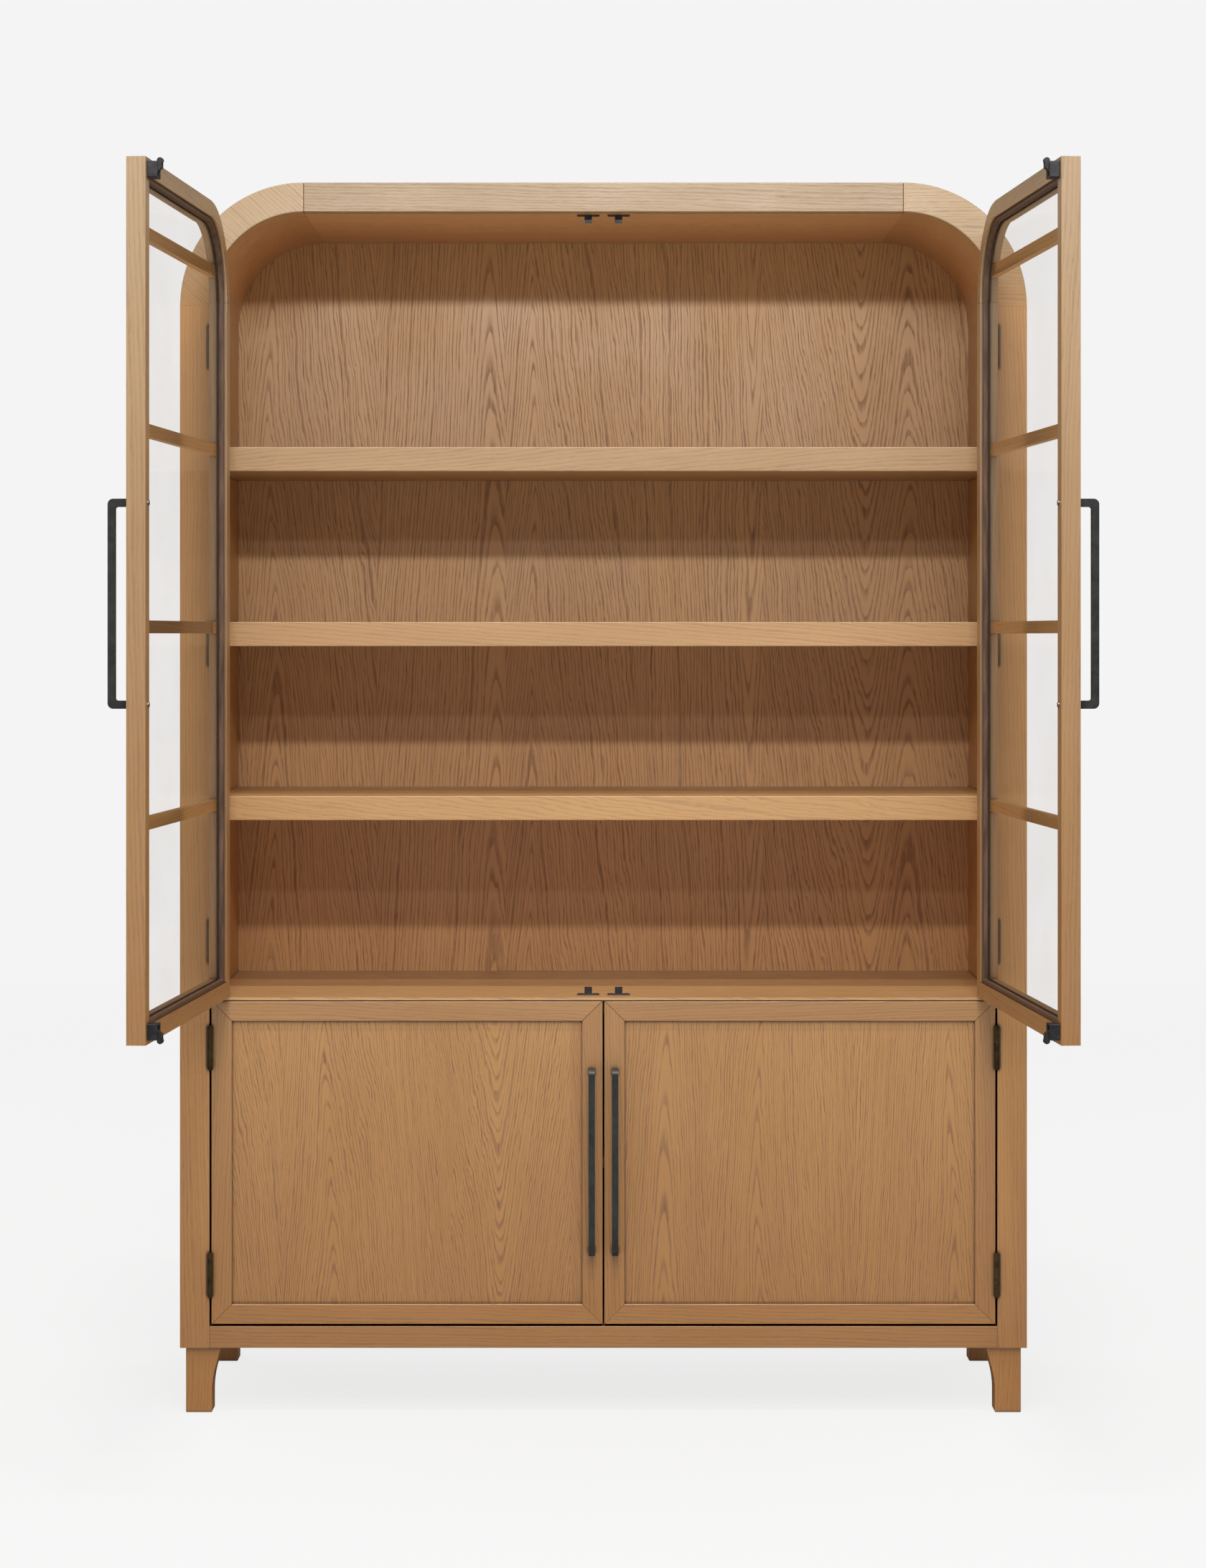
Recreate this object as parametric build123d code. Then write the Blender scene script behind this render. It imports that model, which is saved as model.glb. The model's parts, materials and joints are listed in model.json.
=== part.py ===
from build123d import *
import math
import os

# China cabinet: arched oak case on four feet, open shelves behind a pair of
# glazed doors, a cupboard behind a pair of panelled doors.
# +X is the viewer's right, +Y runs from the front to the back, +Z is up.
# Depths are counted from the case's front plane towards the back.

# ---- case -------------------------------------------------------------------
CASE_WIDTH = 1524.0
CASE_DEPTH = 484.0
CASE_HEIGHT = 2216.0
WALL = 53.0
CORNER_RADIUS = 222.0
FACE_FRAME_DEPTH = 25.0
FOOT_HEIGHT = 118.0
BOTTOM_RAIL_HEIGHT = 39.0
BOTTOM_BOARD = 22.0
BACK_PANEL = 9.0
BACK_PANEL_FRONT = 473.0
BACK_RABBET = 11.0
HOUSING = 8.0

# ---- shelves ----------------------------------------------------------------
SHELF_THICKNESS = 44.0
SHELF_RECESS = 92.0
SHELF_TOPS = {"shelf_upper": 1745.0, "shelf_middle": 1425.0, "shelf_lower": 1107.0}
FLOOR_TOP = 748.8
FLOOR_THICKNESS = 30.0
FLOOR_LIP = 5.0
CUPBOARD_SHELF_TOP = 450.0
CUPBOARD_SHELF_THICKNESS = 20.0
CUPBOARD_SHELF_FRONT = 70.0
SHELF_PIN_RADIUS = 2.5
SHELF_PIN_LENGTH = 22.0
SHELF_PIN_DEPTHS = (110.0, 420.0)

# ---- feet -------------------------------------------------------------------
FOOT_INSET = 9.5
FOOT_TOP = 63.0
FOOT_BOTTOM = 47.0
FOOT_STRAIGHT = 35.0
FOOT_CURVE_TOP = 75.0
FOOT_CURVE_OUT = 4.7

# ---- doors ------------------------------------------------------------------
DOOR_FRAME = 36.0
PANEL_HOLD = 8.0
HINGE_GAP = 4.0
MEETING_GAP = 1.8
UPPER_THICKNESS = 31.0
UPPER_BOTTOM = 750.8
UPPER_TOP = 2160.0
UPPER_OPEN_ANGLE = 94.4
LOWER_THICKNESS = 25.0
LOWER_BOTTOM = 161.0
LOWER_TOP = 742.3
LOWER_PANEL_FRONT = 6.0
LOWER_PANEL_BACK = 18.0
PANEL_CLEARANCE = 0.5

GLASS_FRONT = 14.0
GLASS_BACK = 18.0
GLASS_CLEARANCE = 1.0
RETAINER_BACK = 26.5
RETAINER_WIDTH = 7.5
BAR_HEIGHT = 21.0
BAR_FRONT = 2.0
BAR_CENTRES = (1097.0, 1414.5, 1732.0, 2049.5)

# ---- hinges -----------------------------------------------------------------
HINGE_LENGTH = 76.0
HINGE_KNUCKLES = 5
KNUCKLE_GAP = 0.3
BARREL_RADIUS = 5.0
BARREL_PROUD = 5.2
PIN_RADIUS = 2.0
PIN_CLEARANCE = 0.05
LEAF_THICKNESS = 1.9
LEAF_START = 2.5
LEAF_END = 24.0
UPPER_HINGES = (850.0, 1385.0, 1920.0)
LOWER_HINGES = (250.0, 659.0)

# ---- screws -----------------------------------------------------------------
SCREW_HEAD_RADIUS = 3.3
SCREW_SHANK_RADIUS = 1.7
SCREW_LENGTH = 16.0
LEAF_SCREW_DEPTH = 15.0
LEAF_SCREW_SPACING = 25.0

# ---- pulls ------------------------------------------------------------------
PULL_LENGTH = 334.0
PULL_PROJECTION = 33.0
PULL_BAR = 11.4
PULL_LEG = 13.0
PULL_OUTER_RADIUS = 9.0
PULL_INNER_RADIUS = 4.0
PULL_FROM_CENTRE = 21.0
UPPER_PULL_CENTRE = 1451.0
LOWER_PULL_CENTRE = 455.0
PULL_SCREW_RADIUS = 2.0
PULL_SCREW_HEAD = 4.0
PULL_SCREW_REACH = 14.0

# ---- catches ----------------------------------------------------------------
CATCH_FROM_CENTRE = 27.5
CATCH_WIDTH = 28.0
CATCH_HEIGHT = 26.0
CATCH_PROUD = 16.0
CATCH_EDGE = 6.0
LOWER_CATCH_LIFT = 1.0
CATCH_SLOT = 18.0
CATCH_WEB = 3.0
PIVOT_PROUD = 7.5
PIVOT_RADIUS = 1.5
PIVOT_BELOW_EDGE = 22.0
ARM_WIDTH = 13.0
ARM_RADIUS = 3.5
FORK_WIDTH = 8.6
KNEE_PROUD = 18.5
KNEE_BELOW_EDGE = 13.5
ROLLER_RADIUS = 5.0
ROLLER_WIDTH = 8.0
ROLLER_AXLE = 1.5
ROLLER_BELOW_EDGE = 4.0
STRIKE_WIDTH = 40.0
STRIKE_FRONT = 39.0
STRIKE_BACK = 57.0
STRIKE_PLATE = 1.5
TONGUE_WIDTH = 13.6
TONGUE_FRONT = 40.0
TONGUE_BACK = 42.5
TONGUE_HEIGHT = 15.0
MAGNET_START = 8.0
MAGNET_LENGTH = 46.0
MAGNET_HEIGHT = 12.0
MAGNET_DEPTH = 17.0
MAGNET_PLATE = 1.5
MAGNET_GAP = 0.3

# ---- worked-out values ------------------------------------------------------
HALF_WIDTH = CASE_WIDTH / 2
INNER_X = HALF_WIDTH - WALL
INNER_RADIUS = CORNER_RADIUS - WALL
ARCH_X = HALF_WIDTH - CORNER_RADIUS
SPRING_Z = CASE_HEIGHT - CORNER_RADIUS
SOFFIT_Z = CASE_HEIGHT - WALL
DOOR_EDGE = INNER_X - HINGE_GAP
DOOR_RADIUS = DOOR_EDGE - ARCH_X
DOOR_SPRING_Z = UPPER_TOP - DOOR_RADIUS
HINGE_X = INNER_X - HINGE_GAP / 2
GLASS_HOLD = DOOR_FRAME - PANEL_HOLD
FLOOR_FRONT = LOWER_THICKNESS + 2.0
FLOOR_BOTTOM = FLOOR_TOP - FLOOR_THICKNESS
SPLIT_Z = FLOOR_TOP - FLOOR_THICKNESS / 2

# The origin is on the floor, at the middle of the box that the cabinet takes
# up with its glazed doors standing open, so the front plane is behind it.
OPEN_RAD = math.radians(UPPER_OPEN_ANGLE)
DOOR_REACH = (
    BARREL_PROUD
    + (HINGE_X - MEETING_GAP) * math.sin(OPEN_RAD)
    - (UPPER_THICKNESS + BARREL_PROUD) * math.cos(OPEN_RAD)
)
FRONT_Y = (DOOR_REACH - CASE_DEPTH) / 2

SIDES = {"left": -1, "right": 1}


# ---- building blocks --------------------------------------------------------
def slab(x0, x1, depth0, depth1, z0, z1):
    """Rectangular board between two corners."""
    centre = Pos((x0 + x1) / 2, FRONT_Y + (depth0 + depth1) / 2, (z0 + z1) / 2)
    return centre * Box(abs(x1 - x0), abs(depth1 - depth0), abs(z1 - z0))


def upright(sketch, depth0, depth1):
    """Solid whose front view is the sketch, from one depth to another."""
    front = Plane(origin=(0, FRONT_Y + depth0, 0), x_dir=(1, 0, 0), z_dir=(0, -1, 0))
    return extrude(front * sketch, amount=depth0 - depth1)


def side_profile(sketch, x0, x1):
    """Solid whose side view (depth, height) is the sketch, from x0 to x1."""
    low, high = min(x0, x1), max(x0, x1)
    side = Plane(origin=(low, FRONT_Y, 0), x_dir=(0, 1, 0), z_dir=(1, 0, 0))
    return extrude(side * sketch, amount=high - low)


def outline(points):
    """Flat face with straight edges."""
    return make_face(Polyline(*points, close=True))


def quarter_ring(side, outer, inner, centre_z):
    """Front view of an arched corner."""
    ring = Circle(outer) - Circle(inner) if inner else Circle(outer)
    quarter = Pos(side * outer / 2, outer / 2) * Rectangle(outer, outer)
    return Pos(side * ARCH_X, centre_z) * (ring & quarter)


def rod_x(x0, x1, depth, z, radius):
    """Round bar lying along X."""
    centre = Pos((x0 + x1) / 2, FRONT_Y + depth, z)
    return centre * Rot(0, 90, 0) * Cylinder(radius, abs(x1 - x0))


def rod_y(x, depth0, depth1, z, radius):
    """Round bar lying front to back."""
    centre = Pos(x, FRONT_Y + (depth0 + depth1) / 2, z)
    return centre * Rot(90, 0, 0) * Cylinder(radius, abs(depth1 - depth0))


def solids_of(*shapes):
    """Every separate solid of the given shapes, as one list."""
    return [solid for shape in shapes for solid in shape.solids()]


def cut_all(shape, tools):
    """The shape with each tool taken out of it."""
    for tool in tools:
        shape = shape - tool
    return shape


# ---- case -------------------------------------------------------------------
def arched_outline(reach, bottom, top_extra):
    """Front view of the opening, grown sideways by reach, with arched corners."""
    radius = INNER_RADIUS + reach
    shape = outline([
        (-INNER_X - reach, bottom),
        (INNER_X + reach, bottom),
        (INNER_X + reach, SPRING_Z),
        (-INNER_X - reach, SPRING_Z),
    ])
    shape += Pos(0, (SPRING_Z + SOFFIT_Z + top_extra) / 2) * Rectangle(
        2 * ARCH_X, SOFFIT_Z + top_extra - SPRING_Z
    )
    for side in SIDES.values():
        shape += quarter_ring(side, radius, 0, SPRING_Z)
    return shape


def back_panels():
    """Upper and lower back panels, split behind the fixed floor board."""
    whole = upright(
        arched_outline(BACK_RABBET, FOOT_HEIGHT + 4, BACK_RABBET),
        BACK_PANEL_FRONT,
        BACK_PANEL_FRONT + BACK_PANEL,
    )
    below = slab(-HALF_WIDTH, HALF_WIDTH, 0, CASE_DEPTH, 0, SPLIT_Z)
    return whole - below, whole & below


def floor_board():
    """Fixed floor of the glazed part, with a thin lip above the lower doors."""
    reach = INNER_X + HOUSING
    board = slab(-reach, reach, FLOOR_FRONT, BACK_PANEL_FRONT, FLOOR_BOTTOM, FLOOR_TOP)
    lip = slab(-INNER_X, INNER_X, 0, FLOOR_FRONT, FLOOR_TOP - FLOOR_LIP, FLOOR_TOP)
    return board + lip


def shelf(top):
    """Thick fixed shelf, housed in both sides."""
    reach = INNER_X + HOUSING
    return slab(-reach, reach, SHELF_RECESS, BACK_PANEL_FRONT, top - SHELF_THICKNESS, top)


def cupboard_shelf():
    """Loose shelf behind the lower doors, lying on four pins."""
    reach = INNER_X - 2
    bottom = CUPBOARD_SHELF_TOP - CUPBOARD_SHELF_THICKNESS
    return slab(-reach, reach, CUPBOARD_SHELF_FRONT, BACK_PANEL_FRONT - 3, bottom, CUPBOARD_SHELF_TOP)


def shelf_pins():
    """Four metal pins half in the side panels, half under the loose shelf."""
    pins = []
    z = CUPBOARD_SHELF_TOP - CUPBOARD_SHELF_THICKNESS - SHELF_PIN_RADIUS
    for side in SIDES.values():
        for depth in SHELF_PIN_DEPTHS:
            inner = side * (INNER_X - SHELF_PIN_LENGTH / 2)
            outer = side * (INNER_X + SHELF_PIN_LENGTH / 2)
            pins.append(rod_x(inner, outer, depth, z, SHELF_PIN_RADIUS))
    return pins


def foot_profile():
    """Foot seen square on: straight outside, flared inside."""
    edge = Line((0, 0), (FOOT_BOTTOM, 0))
    edge += Line((FOOT_BOTTOM, 0), (FOOT_BOTTOM, FOOT_STRAIGHT))
    curve_end = (FOOT_BOTTOM + FOOT_CURVE_OUT, FOOT_CURVE_TOP)
    edge += TangentArc((FOOT_BOTTOM, FOOT_STRAIGHT), curve_end, tangent=(0, 1))
    edge += Line(curve_end, (FOOT_TOP, FOOT_HEIGHT))
    edge += Line((FOOT_TOP, FOOT_HEIGHT), (0, FOOT_HEIGHT))
    edge += Line((0, FOOT_HEIGHT), (0, 0))
    return make_face(edge)


def foot(side, at_back):
    """One corner foot, the same outline from the front and from the side."""
    front_view = Pos(FOOT_INSET - HALF_WIDTH, 0) * foot_profile()
    width_solid = upright(front_view, FOOT_INSET, FOOT_INSET + FOOT_TOP)
    side_view = Pos(FOOT_INSET, 0) * foot_profile()
    shape = width_solid & side_profile(side_view, -HALF_WIDTH, FOOT_TOP - HALF_WIDTH + FOOT_INSET)
    if side > 0:
        shape = mirror(shape, about=Plane.YZ)
    if at_back:
        middle = Plane(origin=(0, FRONT_Y + CASE_DEPTH / 2, 0), x_dir=(1, 0, 0), z_dir=(0, 1, 0))
        shape = mirror(shape, about=middle)
    return shape


# ---- door frames ------------------------------------------------------------
def member_outlines(side, width, bottom, top, arched):
    """Front views of a door's mitred members, as wide as the given width."""
    near, far = MEETING_GAP, DOOR_EDGE
    hinge_top = [(far, DOOR_SPRING_Z), (far - width, DOOR_SPRING_Z)]
    rail_end = [(ARCH_X, top), (ARCH_X, top - width)]
    if not arched:
        hinge_top = [(far, top), (far - width, top - width)]
        rail_end = hinge_top
    corners = {
        "meeting_stile": [
            (near, bottom),
            (near, top),
            (near + width, top - width),
            (near + width, bottom + width),
        ],
        "hinge_stile": [(far, bottom), *hinge_top, (far - width, bottom + width)],
        "top_rail": [(near, top), *rail_end, (near + width, top - width)],
        "bottom_rail": [
            (near, bottom),
            (far, bottom),
            (far - width, bottom + width),
            (near + width, bottom + width),
        ],
    }
    views = {}
    for name, points in corners.items():
        views[name] = outline([(side * x, z) for x, z in points])
    if arched:
        views["arch_corner"] = quarter_ring(side, DOOR_RADIUS, DOOR_RADIUS - width, DOOR_SPRING_Z)
    return views


def layered_members(side, bottom, top, arched, layers):
    """Each member built up from (width, front, back) layers."""
    members = {}
    for width, front, back in layers:
        for name, view in member_outlines(side, width, bottom, top, arched).items():
            piece = upright(view, front, back)
            members[name] = members[name] + piece if name in members else piece
    return members


def glazed_outline(side, inset):
    """Front view of the glazed door, drawn in by inset all round."""
    near, far = MEETING_GAP + inset, DOOR_EDGE - inset
    bottom, top = UPPER_BOTTOM + inset, UPPER_TOP - inset
    points = [(near, bottom), (far, bottom), (far, DOOR_SPRING_Z), (ARCH_X, DOOR_SPRING_Z)]
    points += [(ARCH_X, top), (near, top)]
    shape = outline([(side * x, z) for x, z in points])
    return shape + quarter_ring(side, DOOR_RADIUS - inset, 0, DOOR_SPRING_Z)


def glazing_bars(side):
    """Four bars in front of the pane, cut to the frame's inner outline."""
    opening = upright(glazed_outline(side, DOOR_FRAME), BAR_FRONT, GLASS_FRONT)
    bars = []
    for centre in BAR_CENTRES:
        low, high = centre - BAR_HEIGHT / 2, centre + BAR_HEIGHT / 2
        bars.append(opening & slab(0, side * HALF_WIDTH, BAR_FRONT, GLASS_FRONT, low, high))
    return bars


# ---- hardware ---------------------------------------------------------------
def countersunk_screw(side, x, depth, z, outward):
    """Flat-headed screw along X; the head's face is at x, the point goes outward."""
    turn = 90 * side * outward
    head = Pos(0, 0, LEAF_THICKNESS / 2) * Cone(SCREW_HEAD_RADIUS, SCREW_SHANK_RADIUS, LEAF_THICKNESS)
    shank = Pos(0, 0, SCREW_LENGTH / 2) * Cylinder(SCREW_SHANK_RADIUS, SCREW_LENGTH)
    return Pos(x, FRONT_Y + depth, z) * Rot(0, turn, 0) * (head + shank)


def leaf_screws(side, centre_z, on_door):
    """Three screws through one hinge leaf."""
    x = side * (HINGE_X - 0.1 if on_door else HINGE_X + 0.1)
    outward = -1 if on_door else 1
    screws = []
    for step in (-1, 0, 1):
        z = centre_z + step * LEAF_SCREW_SPACING
        screws.append(countersunk_screw(side, x, LEAF_SCREW_DEPTH, z, outward))
    return screws


def hinge_leaf(side, centre_z, on_door):
    """One leaf of a butt hinge, with its share of the knuckles."""
    inner = HINGE_X - 0.1 if on_door else HINGE_X + 0.1
    outer = inner - LEAF_THICKNESS if on_door else inner + LEAF_THICKNESS
    low, high = centre_z - HINGE_LENGTH / 2, centre_z + HINGE_LENGTH / 2
    leaf = slab(side * inner, side * outer, LEAF_START, LEAF_END, low, high)
    step = HINGE_LENGTH / HINGE_KNUCKLES
    for index in range(HINGE_KNUCKLES):
        if (index % 2 == 1) != on_door:
            continue
        z0 = low + index * step + KNUCKLE_GAP / 2
        z1 = low + (index + 1) * step - KNUCKLE_GAP / 2
        barrel = Pos(side * HINGE_X, FRONT_Y - BARREL_PROUD, (z0 + z1) / 2)
        leaf += barrel * Cylinder(BARREL_RADIUS, z1 - z0)
        leaf += slab(side * inner, side * outer, -BARREL_PROUD, LEAF_START, z0, z1)
    bore = PIN_RADIUS + PIN_CLEARANCE if on_door else PIN_RADIUS
    axis = Pos(side * HINGE_X, FRONT_Y - BARREL_PROUD, centre_z)
    leaf -= axis * Cylinder(bore, HINGE_LENGTH + 2)
    return cut_all(leaf, leaf_screws(side, centre_z, on_door))


def hinge_pin(side, centre_z):
    """Pin through the knuckles, with a low domed cap at each end."""
    axis = Pos(side * HINGE_X, FRONT_Y - BARREL_PROUD, centre_z)
    pin = Cylinder(PIN_RADIUS, HINGE_LENGTH)
    for end in (-1, 1):
        pin += Pos(0, 0, end * (HINGE_LENGTH / 2 + 1)) * Cylinder(BARREL_RADIUS - 0.8, 2)
    return axis * pin


def pull(side, centre_z):
    """Square-section bar pull, bent back to the door at both ends."""
    outer = Pos(-PULL_PROJECTION / 2, centre_z) * Rectangle(PULL_PROJECTION, PULL_LENGTH)
    gap_depth = PULL_PROJECTION - PULL_BAR
    gap = Pos(-gap_depth / 2, centre_z) * Rectangle(gap_depth, PULL_LENGTH - 2 * PULL_LEG)
    front_corners = outer.vertices().sort_by(Axis.X)[:2]
    outer = fillet(front_corners, PULL_OUTER_RADIUS)
    gap = fillet(gap.vertices().sort_by(Axis.X)[:2], PULL_INNER_RADIUS)
    centre = side * PULL_FROM_CENTRE
    return side_profile(outer - gap, centre - PULL_BAR / 2, centre + PULL_BAR / 2)


def pull_screws(side, centre_z, thickness):
    """Two screws from the back of the stile into the legs of the pull."""
    screws = []
    for end in (-1, 1):
        z = centre_z + end * (PULL_LENGTH - PULL_LEG) / 2
        x = side * PULL_FROM_CENTRE
        shank = rod_y(x, -PULL_SCREW_REACH, thickness, z, PULL_SCREW_RADIUS)
        head = rod_y(x, thickness, thickness + 2.2, z, PULL_SCREW_HEAD)
        screws.append(shank + head)
    return screws


def catch_level(at_top, distance):
    """Height at a distance in from the door's top or bottom edge."""
    return UPPER_TOP - distance if at_top else UPPER_BOTTOM + LOWER_CATCH_LIFT + distance


def catch_body(side, at_top):
    """Cast housing of a roller catch on the back of the meeting stile."""
    centre = side * CATCH_FROM_CENTRE
    edge = catch_level(at_top, CATCH_EDGE)
    foot_end = catch_level(at_top, CATCH_EDGE + CATCH_HEIGHT)
    inward = -1 if at_top else 1
    half = CATCH_WIDTH / 2
    back = UPPER_THICKNESS + CATCH_PROUD
    body = slab(centre - half, centre + half, UPPER_THICKNESS, back, edge, foot_end)
    slot = CATCH_SLOT / 2
    web = UPPER_THICKNESS + CATCH_WEB
    body -= slab(centre - slot, centre + slot, web, back + 1, edge - inward, foot_end - inward * CATCH_WEB)
    pivot_z = catch_level(at_top, PIVOT_BELOW_EDGE)
    pivot_depth = UPPER_THICKNESS + PIVOT_PROUD
    return body + rod_x(centre - half, centre + half, pivot_depth, pivot_z, PIVOT_RADIUS)


def catch_arm(side, at_top):
    """Sprung forked arm that turns on the housing's pin, and its roller."""
    centre = side * CATCH_FROM_CENTRE
    pivot = (UPPER_THICKNESS + PIVOT_PROUD, catch_level(at_top, PIVOT_BELOW_EDGE))
    knee = (UPPER_THICKNESS + KNEE_PROUD, catch_level(at_top, KNEE_BELOW_EDGE))
    tip = (UPPER_THICKNESS + KNEE_PROUD, catch_level(at_top, ROLLER_BELOW_EDGE))
    tilt = math.degrees(math.atan2(knee[1] - pivot[1], knee[0] - pivot[0]))
    middle = ((pivot[0] + knee[0]) / 2, (pivot[1] + knee[1]) / 2)
    view = Pos(*middle) * Rot(0, 0, tilt) * SlotCenterToCenter(math.dist(pivot, knee), 2 * ARM_RADIUS)
    neck = Pos(knee[0], (knee[1] + tip[1]) / 2) * Rectangle(2 * ARM_RADIUS, abs(tip[1] - knee[1]))
    view = view + neck + Pos(*tip) * Circle(ARM_RADIUS)
    view -= Pos(*pivot) * Circle(PIVOT_RADIUS + PIN_CLEARANCE)
    arm = side_profile(view, centre - ARM_WIDTH / 2, centre + ARM_WIDTH / 2)
    fork = FORK_WIDTH / 2
    fork_end = catch_level(at_top, ROLLER_BELOW_EDGE + ROLLER_RADIUS + 1)
    above = catch_level(at_top, -ROLLER_RADIUS)
    arm -= slab(centre - fork, centre + fork, UPPER_THICKNESS, knee[0] + ROLLER_RADIUS, fork_end, above)
    arm += rod_x(centre - ARM_WIDTH / 2, centre + ARM_WIDTH / 2, *tip, ROLLER_AXLE)
    roller = rod_x(centre - ROLLER_WIDTH / 2, centre + ROLLER_WIDTH / 2, *tip, ROLLER_RADIUS)
    roller -= rod_x(centre - ROLLER_WIDTH, centre + ROLLER_WIDTH, *tip, ROLLER_AXLE + PIN_CLEARANCE)
    return [arm, roller]


def catch_screws(side):
    """Screws through the webs of both catch housings of a door."""
    screws = []
    for at_top in (True, False):
        z = catch_level(at_top, CATCH_EDGE + 8)
        for step in (-1, 1):
            x = side * CATCH_FROM_CENTRE + step * 5.5
            back = UPPER_THICKNESS + CATCH_WEB
            shank = rod_y(x, UPPER_THICKNESS - 10, back, z, SCREW_SHANK_RADIUS)
            head = rod_y(x, back, back + 1.2, z, SCREW_HEAD_RADIUS)
            screws.append(shank + head)
    return screws


def strike(side, at_top):
    """T-shaped strike on the soffit or the floor board, with a bent tongue."""
    centre = side * CATCH_FROM_CENTRE
    face = SOFFIT_Z if at_top else FLOOR_TOP
    inward = -1 if at_top else 1
    half = STRIKE_WIDTH / 2
    plate_level = face + inward * STRIKE_PLATE
    plate = slab(centre - half, centre + half, STRIKE_FRONT, STRIKE_BACK, face, plate_level)
    half = TONGUE_WIDTH / 2
    tongue = slab(
        centre - half, centre + half, TONGUE_FRONT, TONGUE_BACK, face, face + inward * TONGUE_HEIGHT
    )
    return plate + tongue


def strike_screws(side, at_top):
    """Two screws that hold one strike."""
    screws = []
    face = SOFFIT_Z if at_top else FLOOR_TOP
    inward = -1 if at_top else 1
    for step in (-1, 1):
        place = Pos(side * CATCH_FROM_CENTRE + step * 14, FRONT_Y + 50, face)
        shank = Pos(0, 0, -inward * 6) * Cylinder(SCREW_SHANK_RADIUS, 12 + 2 * STRIKE_PLATE)
        head = Pos(0, 0, inward * (STRIKE_PLATE + 0.5)) * Cylinder(SCREW_HEAD_RADIUS, 1)
        screws.append(place * (shank + head))
    return screws


def magnet_catch(side):
    """Magnetic catch under the floor board, behind a lower door."""
    start, end = side * MAGNET_START, side * (MAGNET_START + MAGNET_LENGTH)
    front = LOWER_THICKNESS + MAGNET_PLATE + MAGNET_GAP
    return slab(start, end, front, front + MAGNET_DEPTH, FLOOR_BOTTOM - MAGNET_HEIGHT, FLOOR_BOTTOM)


def magnet_plate(side):
    """Steel plate on the back of a lower door, which meets the magnet."""
    start, end = side * (MAGNET_START + 6), side * (MAGNET_START + MAGNET_LENGTH - 6)
    low = FLOOR_BOTTOM - MAGNET_HEIGHT
    return slab(start, end, LOWER_THICKNESS, LOWER_THICKNESS + MAGNET_PLATE, low, FLOOR_BOTTOM)


# ---- put the case together --------------------------------------------------
parts = {}

upper_back, lower_back = back_panels()
boards = {name: shelf(top) for name, top in SHELF_TOPS.items()}
boards["floor_board"] = floor_board()
reach = INNER_X + HOUSING
boards["bottom_board"] = slab(
    -reach, reach, FACE_FRAME_DEPTH, BACK_PANEL_FRONT, FOOT_HEIGHT, FOOT_HEIGHT + BOTTOM_BOARD
)
pins = shelf_pins()

hinge_rows = [(side, z) for side in SIDES.values() for z in UPPER_HINGES + LOWER_HINGES]
frame_screws = [screw for side, z in hinge_rows for screw in leaf_screws(side, z, False)]
strikes = []
for side in SIDES.values():
    for at_top in (True, False):
        strikes.append(cut_all(strike(side, at_top), strike_screws(side, at_top)))
        frame_screws += strike_screws(side, at_top)

parts["top_rail"] = slab(-ARCH_X, ARCH_X, 0, FACE_FRAME_DEPTH, SOFFIT_Z, CASE_HEIGHT)
parts["bottom_rail"] = slab(
    -INNER_X, INNER_X, 0, FACE_FRAME_DEPTH, FOOT_HEIGHT, FOOT_HEIGHT + BOTTOM_RAIL_HEIGHT
)
top_panel = slab(-ARCH_X, ARCH_X, FACE_FRAME_DEPTH, CASE_DEPTH, SOFFIT_Z, CASE_HEIGHT) - upper_back
parts["top_panel"] = cut_all(top_panel, frame_screws)
for name, side in SIDES.items():
    arch = quarter_ring(side, CORNER_RADIUS, INNER_RADIUS, SPRING_Z)
    stile = slab(side * INNER_X, side * HALF_WIDTH, 0, FACE_FRAME_DEPTH, FOOT_HEIGHT, SPRING_Z)
    panel = slab(side * INNER_X, side * HALF_WIDTH, FACE_FRAME_DEPTH, CASE_DEPTH, FOOT_HEIGHT, SPRING_Z)
    side_screws = [screw for screw in frame_screws if screw.center().X * side > INNER_X - 5]
    parts[f"stile_{name}"] = cut_all(stile, side_screws)
    housed = [*boards.values(), upper_back, lower_back, *pins]
    parts[f"side_panel_{name}"] = cut_all(panel, housed)
    parts[f"arch_frame_{name}"] = upright(arch, 0, FACE_FRAME_DEPTH)
    parts[f"arch_shell_{name}"] = upright(arch, FACE_FRAME_DEPTH, CASE_DEPTH) - upper_back
parts["back_panel_upper"] = upper_back
parts["back_panel_lower"] = lower_back
boards["floor_board"] = cut_all(boards["floor_board"], frame_screws)
parts.update(boards)
parts["cupboard_shelf"] = cupboard_shelf()
parts["shelf_pins"] = pins
parts["feet"] = [foot(side, at_back) for side in SIDES.values() for at_back in (False, True)]
parts["latch_strikes"] = strikes
parts["magnet_catches"] = [magnet_catch(side) for side in SIDES.values()]
parts["frame_hinge_leaves"] = [hinge_leaf(side, z, False) for side, z in hinge_rows]
parts["hinge_pins"] = [hinge_pin(side, z) for side, z in hinge_rows]
parts["frame_screws"] = frame_screws


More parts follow.
